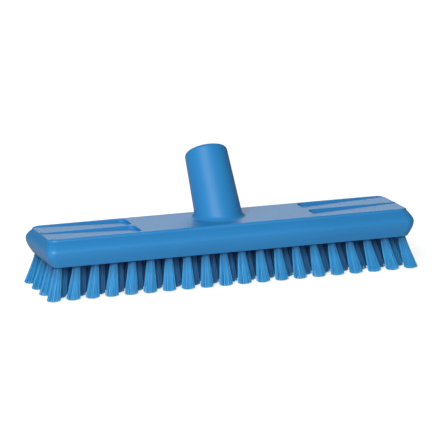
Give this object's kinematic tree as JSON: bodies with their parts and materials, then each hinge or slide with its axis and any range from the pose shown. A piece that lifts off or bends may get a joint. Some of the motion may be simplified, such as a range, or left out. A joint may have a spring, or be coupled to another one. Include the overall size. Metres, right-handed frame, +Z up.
{
  "type": "floor scrub brush",
  "caption": "Rectangular deck scrub with stiff bristle tufts in rows and a leaning threaded socket for a long handle.",
  "frame": {"origin": "middle of the brush's box, on the floor that the bristle tips stand on", "axes": "+X along the brush, +Y the way the handle leans, +Z up"},
  "size_m": [0.3086, 0.0886, 0.1039],
  "materials": {
    "block_plastic": "satin moulded polypropylene",
    "bristle_plastic": "satin polyester filament"
  },
  "bodies": {
    "root": {"brush_block": "block_plastic", "tuft_row_1": "bristle_plastic", "tuft_row_2": "bristle_plastic", "tuft_row_3": "bristle_plastic", "tuft_row_4": "bristle_plastic", "tuft_row_5": "bristle_plastic", "tuft_row_6": "bristle_plastic", "tuft_row_7": "bristle_plastic"}
  },
  "joints": []
}
